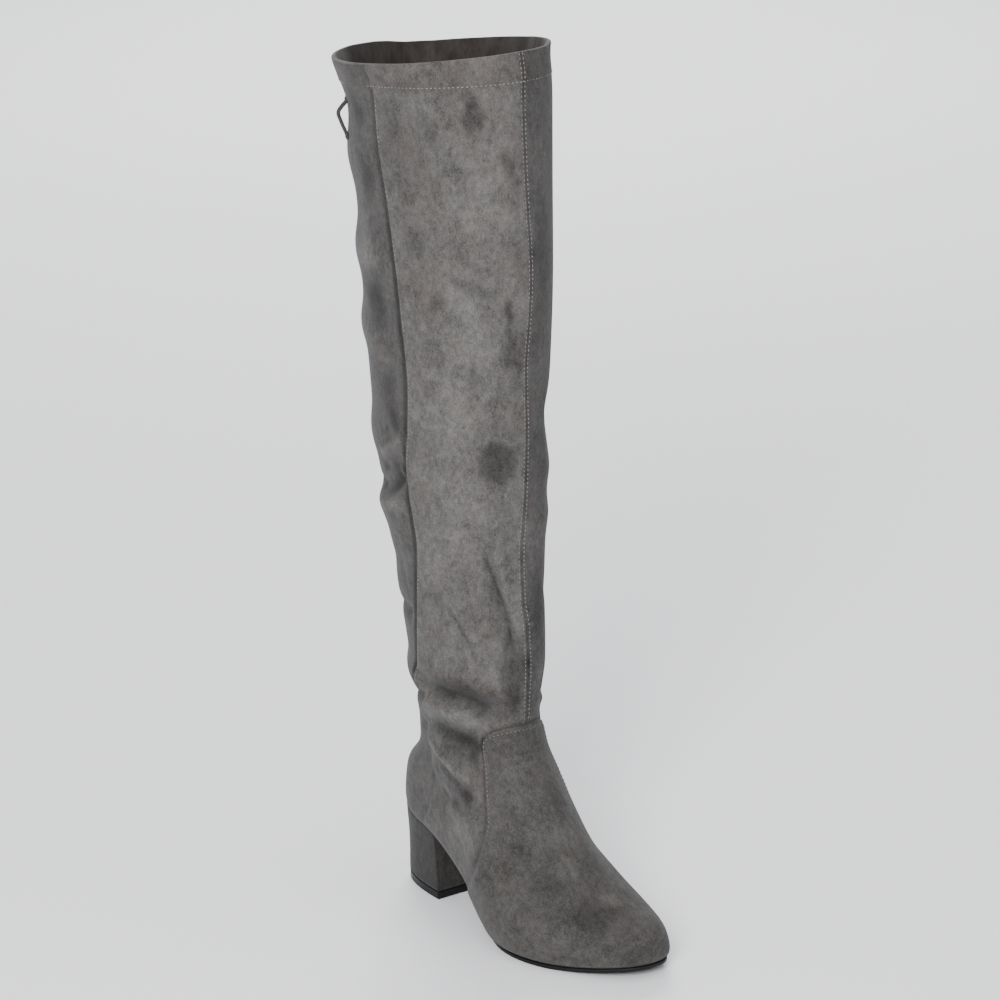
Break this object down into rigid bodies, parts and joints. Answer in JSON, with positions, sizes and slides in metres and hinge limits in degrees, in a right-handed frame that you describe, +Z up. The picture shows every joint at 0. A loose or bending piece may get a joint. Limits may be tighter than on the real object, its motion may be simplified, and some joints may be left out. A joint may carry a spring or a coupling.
{
  "type": "over-the-knee heeled boot",
  "caption": "Tall over-the-knee suede boot for the right foot, with a rounded toe, a block heel, an open collar and a curving zip on the inner side.",
  "frame": {"origin": "middle of the boot's outer box, on the floor that the sole and heel stand on", "axes": "+X to the toe, +Y to the inner side where the zip is, +Z up the shaft"},
  "size_m": [0.286, 0.1378, 0.6077],
  "materials": {
    "suede": "napped",
    "vamp_suede": "napped",
    "lining": "matt",
    "sole_rubber": "matt",
    "heel_suede": "napped",
    "lift_rubber": "matt",
    "zip_tape": "matt",
    "zip_coil": "satin",
    "slider_metal": "satin",
    "pull_metal": "satin",
    "loop_cloth": "matt"
  },
  "bodies": {
    "boot": {"upper": "suede", "vamp": "vamp_suede", "insole": "lining", "outsole": "sole_rubber", "heel": "heel_suede", "heel_lift": "lift_rubber", "zip_tape": "zip_tape", "zip_coil": "zip_coil", "zip_slider": "slider_metal", "back_loop": "loop_cloth"},
    "pull": {"zip_pull": "pull_metal"}
  },
  "joints": [
    {"name": "pull_swing", "type": "hinge", "parent": "boot", "child": "pull", "pos_m": [-0.04519, 0.05345, 0.26578], "axis": [0.9969, 0.0288, 0.073], "range_deg": [0, 140]}
  ]
}
